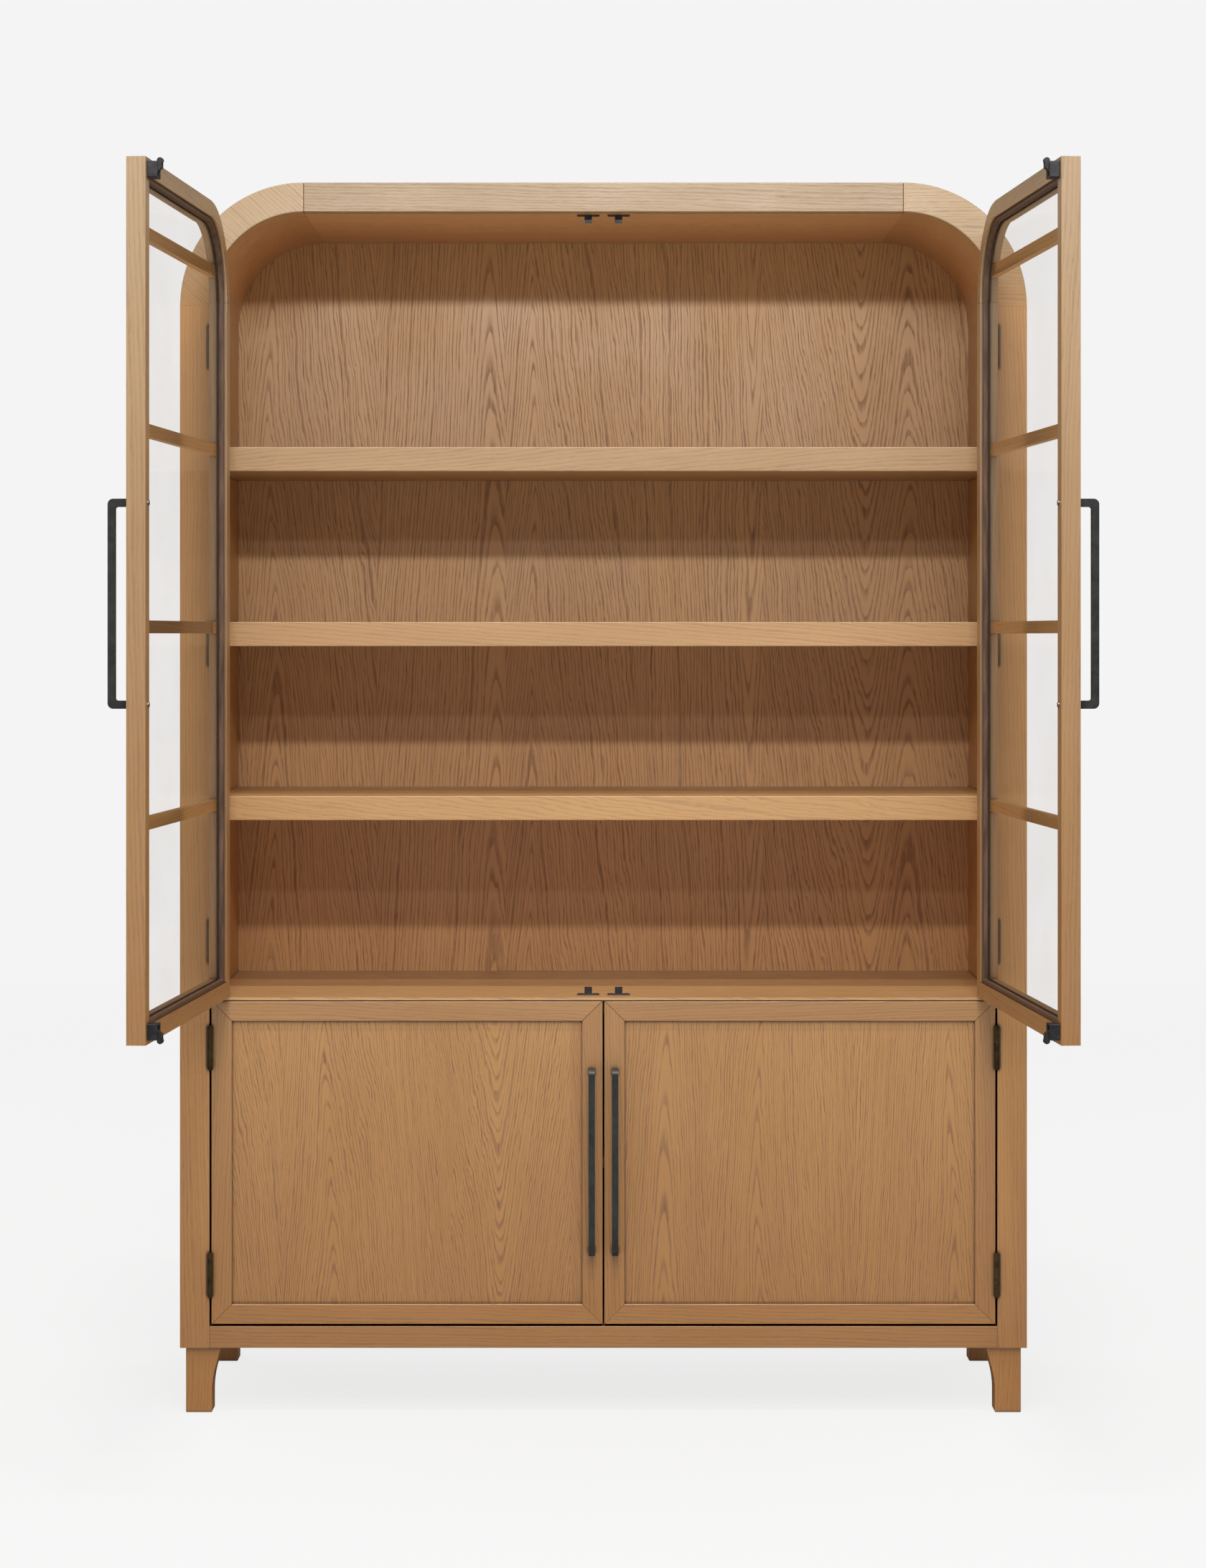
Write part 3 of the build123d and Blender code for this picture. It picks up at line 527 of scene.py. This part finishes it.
def studio_floor():
    """A pale disc that fades into the backdrop at its rim, and is dim in reflections."""
    mesh = disc_mesh("studio_floor", FLOOR_RADIUS, FLOOR_RINGS, FLOOR_SPOKES)
    obj = bpy.data.objects.new("studio_floor", mesh)
    bpy.context.scene.collection.objects.link(obj)
    obj.location.z = -FLOOR_DROP
    t = Tree("studio_floor")
    place = t.coordinates["Object"]
    path = t.new("LightPath").outputs
    paper = t.noise(place, 40.0, 3.0, 0.5)
    t.surface(Base_Color=t.mix(paper, grey(0.80), grey(0.83)), Roughness=0.9, Specular_IOR_Level=0.1)
    glow = t.new("Emission")
    glow.inputs["Color"].default_value = grey(1)
    glow.inputs["Strength"].default_value = BACKDROP * 1.02
    shade = t.new("BsdfDiffuse")
    shade.inputs[0].default_value = grey(0.05)
    clear = t.new("BsdfTransparent")
    lit = t.mix_shaders(t.mul(path["Is Camera Ray"], 0.86), t.bsdf.outputs[0], glow.outputs[0])
    dull = t.mix_shaders(t.mul(path["Is Glossy Ray"], 1.0 - GLOSSY_SHARE), lit, shade.outputs[0])
    x, y, z = t.split(place)
    distance = t.math("SQRT", t.add(t.mul(x, x), t.mul(y, y)))
    faded = t.mix_shaders(t.ramp(distance, FADE_FROM, FADE_TO), dull, clear.outputs[0])
    t.link(faded, t.out.inputs[0])
    mesh.materials.append(t.mat)


def studio_world():
    """An even pale backdrop for the camera, and a dimmer, slightly warm light for the object."""
    world = bpy.data.worlds.new("studio")
    bpy.context.scene.world = world
    world.use_nodes = True
    tree = world.node_tree
    tree.nodes.clear()
    link = tree.links.new
    output = tree.nodes.new("ShaderNodeOutputWorld")
    blend = tree.nodes.new("ShaderNodeMixShader")
    path = tree.nodes.new("ShaderNodeLightPath")
    seen = tree.nodes.new("ShaderNodeBackground")
    lit = tree.nodes.new("ShaderNodeBackground")
    dim = tree.nodes.new("ShaderNodeMapRange")
    seen.inputs[0].default_value = grey(1)
    seen.inputs[1].default_value = BACKDROP
    lit.inputs[0].default_value = rgb(1.0, 0.985, 0.96)
    for socket, value in zip(dim.inputs[1:5], (0.0, 1.0, AMBIENT, AMBIENT * GLOSSY_SHARE)):
        socket.default_value = value
    link(path.outputs["Is Glossy Ray"], dim.inputs[0])
    link(dim.outputs[0], lit.inputs[1])
    link(path.outputs["Is Camera Ray"], blend.inputs[0])
    link(lit.outputs[0], blend.inputs[1])
    link(seen.outputs[0], blend.inputs[2])
    link(blend.outputs[0], output.inputs[0])


def lamp(name, place, target, width, height, watts):
    """A rectangular lamp that faces its target."""
    data = bpy.data.lights.new(name, "AREA")
    data.shape = "RECTANGLE"
    data.size = width
    data.size_y = height
    data.energy = watts
    obj = bpy.data.objects.new(name, data)
    bpy.context.scene.collection.objects.link(obj)
    obj.location = place
    direction = Vector(target) - Vector(place)
    obj.rotation_euler = direction.to_track_quat("-Z", "Y").to_euler()


studio_floor()
studio_world()
# two narrow lamps in front and two high up throw the shelves' shadows on the back panel
MIDDLE_Z = 1.1
INSIDE = (0, FRONT_Y + 0.3, MIDDLE_Z)
MOUTH = (0, FRONT_Y + 0.2, MIDDLE_Z)
lamp("key", (0.15, FRONT_Y - 2.96, 2.907), INSIDE, 2.6, 0.10, 43)
lamp("second", (0.0, FRONT_Y - 5.5, 3.415), INSIDE, 1.6, 0.16, 19)
lamp("overhead", (0.0, FRONT_Y - 2.2, 8.0), MOUTH, 1.6, 0.30, 205)
lamp("high_front", (0.0, FRONT_Y - 4.84, 8.0), MOUTH, 1.6, 0.30, 200)
for side in SIDES.values():
    lamp("rear_fill", (4.5 * side, BACK_Y + 3.0, 2.8), (0, 0.3, MIDDLE_Z), 3.0, 3.0, 55)

# ---- camera -----------------------------------------------------------------
# it looks straight back; the view is this tall, and centred here, in the plane of the case's front
CAMERA_BACK = 5.911
CAMERA_Z = 1.4012
VIEW_HEIGHT = 2.82236
VIEW_X = -0.000775
VIEW_Z = 1.13317
SENSOR = 36.0
camera = bpy.data.cameras.new("camera")
camera.sensor_fit = "VERTICAL"
camera.sensor_height = SENSOR
camera.lens = SENSOR * CAMERA_BACK / VIEW_HEIGHT
camera.shift_x = VIEW_X / VIEW_HEIGHT
camera.shift_y = (VIEW_Z - CAMERA_Z) / VIEW_HEIGHT
camera_object = bpy.data.objects.new("camera", camera)
bpy.context.scene.collection.objects.link(camera_object)
camera_object.location = (0.0, FRONT_Y - CAMERA_BACK, CAMERA_Z)
camera_object.rotation_euler = (math.radians(90), 0, 0)
bpy.context.scene.camera = camera_object
bpy.context.scene.view_settings.view_transform = "Standard"
bpy.context.scene.view_settings.look = "None"
